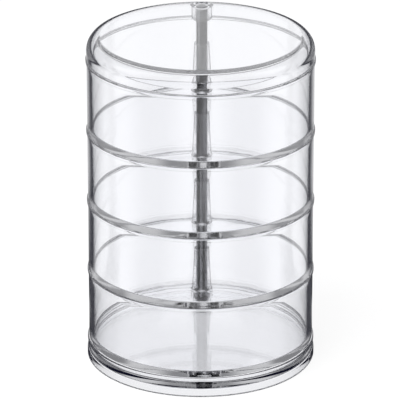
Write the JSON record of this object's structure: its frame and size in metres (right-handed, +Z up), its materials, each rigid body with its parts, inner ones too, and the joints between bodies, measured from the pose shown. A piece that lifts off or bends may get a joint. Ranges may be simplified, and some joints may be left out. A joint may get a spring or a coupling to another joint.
{
  "type": "rotating jewelry box",
  "caption": "Clear round jewelry box: stacked open trays and a shallow lid that each swivel sideways on a steel rod near the back, over a shallow base.",
  "frame": {"origin": "centre of the base's round underside, level with the foot of its skirt, on the surface that the box stands on", "axes": "+Z up along the stack, -Y towards the front, +Y towards the rod near the back, +X to the right seen from the front"},
  "size_m": [0.1412, 0.1412, 0.209],
  "materials": {
    "clear_plastic": "clear colourless moulded plastic, polished",
    "rod_steel": "ground and drawn along its length",
    "fastener_steel": "plain turned steel"
  },
  "bodies": {
    "base": {"base": "clear_plastic", "rod": "rod_steel", "base_screw": "fastener_steel", "base_washer": "fastener_steel"},
    "tray_1": {"tray_1": "clear_plastic"},
    "tray_2": {"tray_2": "clear_plastic"},
    "tray_3": {"tray_3": "clear_plastic"},
    "tray_4": {"tray_4": "clear_plastic"},
    "lid": {"lid": "clear_plastic"}
  },
  "joints": [
    {"name": "lid_swivel", "type": "hinge", "parent": "base", "child": "lid", "pos_m": [0, 0.0591, 0.1954], "axis": [0, 0, 1], "continuous": true},
    {"name": "tray_1_swivel", "type": "hinge", "parent": "base", "child": "tray_1", "pos_m": [0, 0.0591, 0.1497], "axis": [0, 0, 1], "continuous": true},
    {"name": "tray_2_swivel", "type": "hinge", "parent": "base", "child": "tray_2", "pos_m": [0, 0.0591, 0.104], "axis": [0, 0, 1], "continuous": true},
    {"name": "tray_3_swivel", "type": "hinge", "parent": "base", "child": "tray_3", "pos_m": [0, 0.0591, 0.0583], "axis": [0, 0, 1], "continuous": true},
    {"name": "tray_4_swivel", "type": "hinge", "parent": "base", "child": "tray_4", "pos_m": [0, 0.0591, 0.0126], "axis": [0, 0, 1], "continuous": true}
  ]
}
